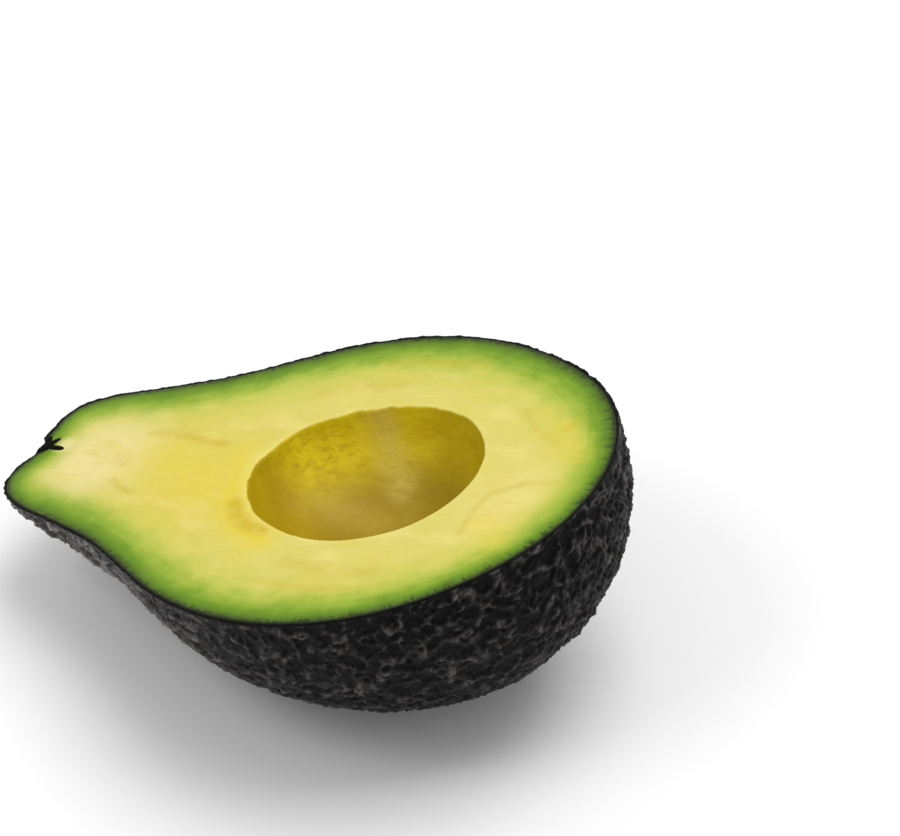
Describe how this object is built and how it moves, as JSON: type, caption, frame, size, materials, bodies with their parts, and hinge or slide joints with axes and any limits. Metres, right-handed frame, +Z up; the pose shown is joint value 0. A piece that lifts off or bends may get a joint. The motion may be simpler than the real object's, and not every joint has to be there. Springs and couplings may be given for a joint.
{
  "type": "avocado half",
  "caption": "Half of a pear-shaped avocado cut lengthways, lying on its back: dark pebbled skin, pale flesh with an empty egg-shaped stone hollow, and a stub of the stem.",
  "frame": {"origin": "bottom centre of the box of the half as it lies on its back, on the surface that it lies on", "axes": "+X along the fruit from the stem end to the blossom end, level; +Y across the cut face; +Z up. The cut face tips 14 degrees down towards the stem end and 3.6 degrees down towards -Y."},
  "size_m": [0.1074, 0.0694, 0.0468],
  "materials": {
    "flesh": "moist satin, yellow in the middle and green under the skin",
    "skin": "pebbled, satin, near black",
    "stem": "dry and rough, near black"
  },
  "bodies": {
    "root": {"flesh": "flesh", "skin": "skin", "stem_stub": "stem"}
  },
  "joints": []
}
